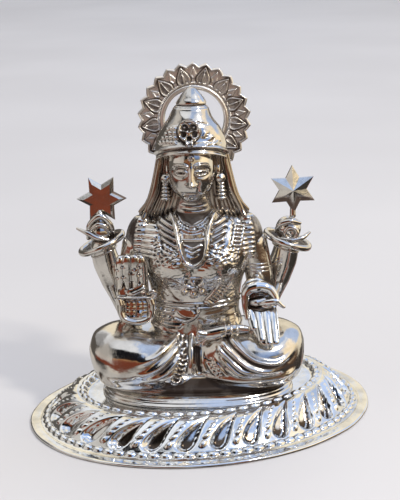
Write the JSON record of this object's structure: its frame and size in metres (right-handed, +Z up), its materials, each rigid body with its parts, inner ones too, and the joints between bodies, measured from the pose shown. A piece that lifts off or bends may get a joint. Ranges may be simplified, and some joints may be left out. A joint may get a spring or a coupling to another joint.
{
  "type": "lakshmi figure",
  "caption": "Small seated many-armed figure with crown and petal halo, front hands raised and lowered, on an oval embossed plate.",
  "frame": {"origin": "on the surface that the plate stands on, under the middle of the plate", "axes": "+Z up, +X to the viewer's right, the figure faces -Y"},
  "size_m": [0.0552, 0.045, 0.056],
  "materials": {
    "plate_silver": "bright polished pressed silver sheet with darker recesses",
    "figure_silver": "highly polished silver, tarnished dark in the recesses",
    "halo_silver": "half matt silver with a brownish tarnish"
  },
  "bodies": {
    "root": {"base_plate": "plate_silver", "figure": "figure_silver", "halo": "halo_silver", "rear_arm_right": "figure_silver", "rear_arm_left": "figure_silver", "star_right": "figure_silver", "star_left": "figure_silver", "blessing_hand": "figure_silver", "giving_hand": "figure_silver"}
  },
  "joints": []
}
